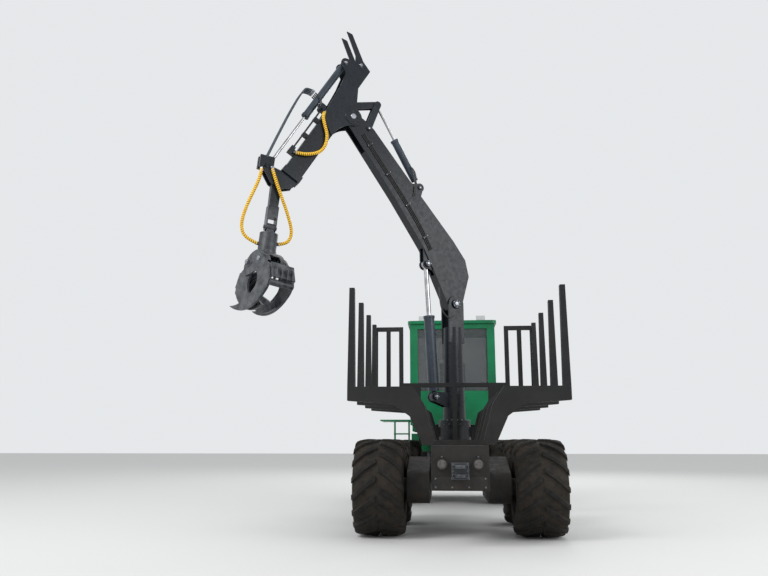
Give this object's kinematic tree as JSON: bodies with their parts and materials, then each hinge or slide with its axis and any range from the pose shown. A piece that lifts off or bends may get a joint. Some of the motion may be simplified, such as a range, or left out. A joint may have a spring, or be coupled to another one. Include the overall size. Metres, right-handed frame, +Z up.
{
  "type": "forestry forwarder",
  "caption": "Articulated timber forwarder on bogie wheels, with an open bunk between stakes, a slewing knuckle crane and a log grapple.",
  "frame": {"origin": "middle of the whole machine's box, on the ground", "axes": "+X to the machine's right, +Y to its front, +Z up"},
  "size_m": [5.0174, 9.23, 8.4198],
  "materials": {
    "green_paint": "gloss paint, dusty",
    "crane_paint": "satin black paint, worn on edges",
    "frame_paint": "dark grey paint with mud",
    "cylinder_paint": "satin black paint",
    "rod_chrome": "polished hard chrome",
    "cast_steel": "bare worn casting",
    "tyre_rubber": "muddy rubber",
    "window_glass": "tinted safety glass",
    "lamp_lens": "lens",
    "seat_fabric": "woven fabric",
    "engine_iron": "cast iron"
  },
  "bodies": {
    "rear_frame": {"rear_chassis": "frame_paint", "rear_axle": "frame_paint", "rear_bogies": "frame_paint", "tow_hitch": "cast_steel", "rear_lamps": "lamp_lens", "bunk_bolsters": "frame_paint", "bunk_stakes": "frame_paint", "load_gate": "frame_paint", "crane_base": "crane_paint"},
    "front_frame": {"front_chassis": "frame_paint", "front_axle": "frame_paint", "front_bogies": "frame_paint", "front_bumper": "green_paint", "engine_block": "engine_iron", "underfloor_tanks": "frame_paint", "cab_shell": "green_paint", "cab_roof": "green_paint", "cab_windows": "window_glass", "cab_seat": "seat_fabric", "roof_lamps": "lamp_lens", "access_steps": "green_paint"},
    "cab_door": {"cab_door": "green_paint", "door_window": "window_glass"},
    "engine_hood": {"engine_hood": "green_paint", "hood_grille": "frame_paint"},
    "crane_pillar": {"crane_pillar": "crane_paint"},
    "lift_barrel": {"lift_cylinder_barrel": "cylinder_paint"},
    "lift_rod": {"lift_cylinder_rod": "rod_chrome"},
    "main_boom": {"main_boom": "crane_paint"},
    "fold_barrel": {"fold_cylinder_barrel": "cylinder_paint"},
    "fold_rod": {"fold_cylinder_rod": "rod_chrome"},
    "knee_link": {"knee_links": "crane_paint"},
    "knee_strut": {"knee_struts": "crane_paint"},
    "outer_boom": {"outer_boom": "crane_paint", "extension_cylinder_barrel": "cylinder_paint"},
    "extension": {"extension_boom": "crane_paint", "extension_cylinder_rod": "rod_chrome"},
    "tip_link": {"tip_link": "crane_paint"},
    "rotator": {"rotator": "cast_steel"},
    "grapple_head": {"grapple_head": "crane_paint"},
    "jaw_left": {"grapple_jaw_left": "crane_paint"},
    "jaw_right": {"grapple_jaw_right": "crane_paint"},
    "grapple_barrel": {"grapple_cylinder_barrel": "cylinder_paint"},
    "grapple_rod": {"grapple_cylinder_rod": "rod_chrome"},
    "steering_barrel_left": {"steering_barrel_left": "cylinder_paint"},
    "steering_rod_left": {"steering_rod_left": "rod_chrome"},
    "steering_barrel_right": {"steering_barrel_right": "cylinder_paint"},
    "steering_rod_right": {"steering_rod_right": "rod_chrome"},
    "wheel_rear_bogie_rear_left": {"wheel_rear_bogie_rear_left": "tyre_rubber"},
    "wheel_rear_bogie_rear_right": {"wheel_rear_bogie_rear_right": "tyre_rubber"},
    "wheel_rear_bogie_front_left": {"wheel_rear_bogie_front_left": "tyre_rubber"},
    "wheel_rear_bogie_front_right": {"wheel_rear_bogie_front_right": "tyre_rubber"},
    "wheel_front_bogie_rear_left": {"wheel_front_bogie_rear_left": "tyre_rubber"},
    "wheel_front_bogie_rear_right": {"wheel_front_bogie_rear_right": "tyre_rubber"},
    "wheel_front_bogie_front_left": {"wheel_front_bogie_front_left": "tyre_rubber"},
    "wheel_front_bogie_front_right": {"wheel_front_bogie_front_right": "tyre_rubber"}
  },
  "joints": [
    {"name": "spin_rear_bogie_rear_left", "type": "hinge", "parent": "rear_frame", "child": "wheel_rear_bogie_rear_left", "pos_m": [0.11871, -3.245, 0.615], "axis": [1, 0, 0], "continuous": true},
    {"name": "spin_rear_bogie_rear_right", "type": "hinge", "parent": "rear_frame", "child": "wheel_rear_bogie_rear_right", "pos_m": [2.1587, -3.245, 0.615], "axis": [1, 0, 0], "continuous": true},
    {"name": "spin_rear_bogie_front_left", "type": "hinge", "parent": "rear_frame", "child": "wheel_rear_bogie_front_left", "pos_m": [0.11871, -1.745, 0.615], "axis": [1, 0, 0], "continuous": true},
    {"name": "spin_rear_bogie_front_right", "type": "hinge", "parent": "rear_frame", "child": "wheel_rear_bogie_front_right", "pos_m": [2.1587, -1.745, 0.615], "axis": [1, 0, 0], "continuous": true},
    {"name": "spin_front_bogie_rear_left", "type": "hinge", "parent": "front_frame", "child": "wheel_front_bogie_rear_left", "pos_m": [0.11871, 2.005, 0.615], "axis": [1, 0, 0], "continuous": true},
    {"name": "spin_front_bogie_rear_right", "type": "hinge", "parent": "front_frame", "child": "wheel_front_bogie_rear_right", "pos_m": [2.1587, 2.005, 0.615], "axis": [1, 0, 0], "continuous": true},
    {"name": "spin_front_bogie_front_left", "type": "hinge", "parent": "front_frame", "child": "wheel_front_bogie_front_left", "pos_m": [0.11871, 3.505, 0.615], "axis": [1, 0, 0], "continuous": true},
    {"name": "spin_front_bogie_front_right", "type": "hinge", "parent": "front_frame", "child": "wheel_front_bogie_front_right", "pos_m": [2.1587, 3.505, 0.615], "axis": [1, 0, 0], "continuous": true},
    {"name": "steer", "type": "hinge", "parent": "rear_frame", "child": "front_frame", "pos_m": [1.13871, 0.805, 1], "axis": [0, 0, 1], "range_deg": [-42, 42]},
    {"name": "steering_pivot_left", "type": "hinge", "parent": "rear_frame", "child": "steering_barrel_left", "pos_m": [0.71871, -0.045, 0.96], "axis": [0, 0, 1], "range_deg": [-13.4, 13.4]},
    {"name": "steering_slide_left", "type": "slide", "parent": "steering_barrel_left", "child": "steering_rod_left", "axis": [0.0472, 0.9989, 0], "range_m": [-0.27464, 0.27464]},
    {"name": "steering_pivot_right", "type": "hinge", "parent": "rear_frame", "child": "steering_barrel_right", "pos_m": [1.55871, -0.045, 0.96], "axis": [0, 0, 1], "range_deg": [-13.4, 13.4]},
    {"name": "steering_slide_right", "type": "slide", "parent": "steering_barrel_right", "child": "steering_rod_right", "axis": [-0.0472, 0.9989, 0], "range_m": [-0.27464, 0.27464]},
    {"name": "door", "type": "hinge", "parent": "front_frame", "child": "cab_door", "pos_m": [0.30371, 2.065, 2.5], "axis": [0, 0, -1], "range_deg": [0, 80]},
    {"name": "hood", "type": "hinge", "parent": "front_frame", "child": "engine_hood", "pos_m": [1.13871, 4.54, 1.4], "axis": [-1, 0, 0], "range_deg": [0, 60]},
    {"name": "slew", "type": "hinge", "parent": "rear_frame", "child": "crane_pillar", "pos_m": [1.13871, -0.045, 1.48], "axis": [0, 0, 1], "range_deg": [-130, 250]},
    {"name": "lift", "type": "hinge", "parent": "crane_pillar", "child": "main_boom", "pos_m": [1.13871, -0.045, 3.6], "axis": [-0.5, 0.866, 0], "range_deg": [-52.5, 27]},
    {"name": "lift_pivot", "type": "hinge", "parent": "crane_pillar", "child": "lift_barrel", "pos_m": [0.79229, -0.245, 1.95], "axis": [-0.5, 0.866, 0], "range_deg": [-15.09, 7.81]},
    {"name": "lift_slide", "type": "slide", "parent": "lift_barrel", "child": "lift_rod", "axis": [-0.05, -0.0288, 0.9983], "range_m": [-0.54175, 0.27959]},
    {"name": "fold", "type": "hinge", "parent": "main_boom", "child": "outer_boom", "pos_m": [-0.61525, -1.05764, 6.79792], "axis": [0.5, -0.866, 0], "range_deg": [-80, 20]},
    {"name": "fold_pivot", "type": "hinge", "parent": "main_boom", "child": "fold_barrel", "pos_m": [0.56429, -0.37664, 5.71283], "axis": [0.5, -0.866, 0], "range_deg": [-5.64, 1.5]},
    {"name": "fold_slide", "type": "slide", "parent": "fold_barrel", "child": "fold_rod", "axis": [-0.4397, -0.2538, 0.8615], "range_m": [-0.29602, 0.0755]},
    {"name": "knee_link_pivot", "type": "hinge", "parent": "main_boom", "child": "knee_link", "pos_m": [-0.34337, -0.90068, 6.64176], "axis": [0.5, -0.866, 0], "range_deg": [-34.72, 8.77]},
    {"name": "knee_strut_pivot", "type": "hinge", "parent": "outer_boom", "child": "knee_strut", "pos_m": [-0.62239, -1.06177, 7.03864], "axis": [0.5, -0.866, 0], "range_deg": [-19.37, 77.12]},
    {"name": "extend", "type": "slide", "parent": "outer_boom", "child": "extension", "axis": [0.4589, 0.265, 0.848], "range_m": [-1.15, 0]},
    {"name": "swing", "type": "hinge", "parent": "extension", "child": "tip_link", "pos_m": [-1.76191, -1.71967, 5.40615], "axis": [-0.5, 0.866, 0], "range_deg": [-40, 40]},
    {"name": "cross_swing", "type": "hinge", "parent": "tip_link", "child": "rotator", "pos_m": [-1.83343, -1.76096, 4.62048], "axis": [-0.8613, -0.4973, 0.1045], "range_deg": [-30, 30]},
    {"name": "rotate_grapple", "type": "hinge", "parent": "rotator", "child": "grapple_head", "pos_m": [-1.87054, -1.78239, 4.21272], "axis": [-0.0905, -0.0523, -0.9945], "continuous": true},
    {"name": "jaws", "type": "hinge", "parent": "grapple_head", "child": "jaw_left", "pos_m": [-2.02295, -1.65854, 4.01898], "axis": [0.7016, 0.7054, -0.1009], "range_deg": [-14, 50]},
    {"name": "jaw_right_pivot", "type": "hinge", "parent": "grapple_head", "child": "jaw_right", "pos_m": [-1.75435, -1.92715, 4.00865], "axis": [0.7016, 0.7054, -0.1009], "range_deg": [-50.1, 14.1]},
    {"name": "grapple_cylinder_pivot", "type": "hinge", "parent": "jaw_left", "child": "grapple_barrel", "pos_m": [-2.13639, -1.56795, 3.86367], "axis": [0.7016, 0.7054, -0.1009], "range_deg": [-50.1, 14.1]},
    {"name": "grapple_cylinder_slide", "type": "slide", "parent": "grapple_barrel", "child": "grapple_rod", "axis": [0.7068, -0.7068, -0.0272], "range_m": [-0.0525, 0.18235]}
  ],
  "couplings": [
    {"joint": "steering_pivot_left", "follows": "steer", "ratio": 0.31635},
    {"joint": "steering_slide_left", "follows": "steer", "m_per_rad": -0.37194},
    {"joint": "steering_pivot_right", "follows": "steer", "ratio": 0.31635},
    {"joint": "steering_slide_right", "follows": "steer", "m_per_rad": 0.37194},
    {"joint": "lift_pivot", "follows": "lift", "ratio": 0.28517},
    {"joint": "lift_slide", "follows": "lift", "m_per_rad": 0.58906},
    {"joint": "fold_pivot", "follows": "fold", "ratio": 0.06905},
    {"joint": "fold_slide", "follows": "fold", "m_per_rad": 0.21058},
    {"joint": "knee_link_pivot", "follows": "fold", "ratio": 0.4326},
    {"joint": "knee_strut_pivot", "follows": "fold", "ratio": -0.96257},
    {"joint": "jaw_right_pivot", "follows": "jaws", "ratio": -1},
    {"joint": "grapple_cylinder_pivot", "follows": "jaws", "ratio": -1},
    {"joint": "grapple_cylinder_slide", "follows": "jaws", "m_per_rad": 0.20666}
  ]
}
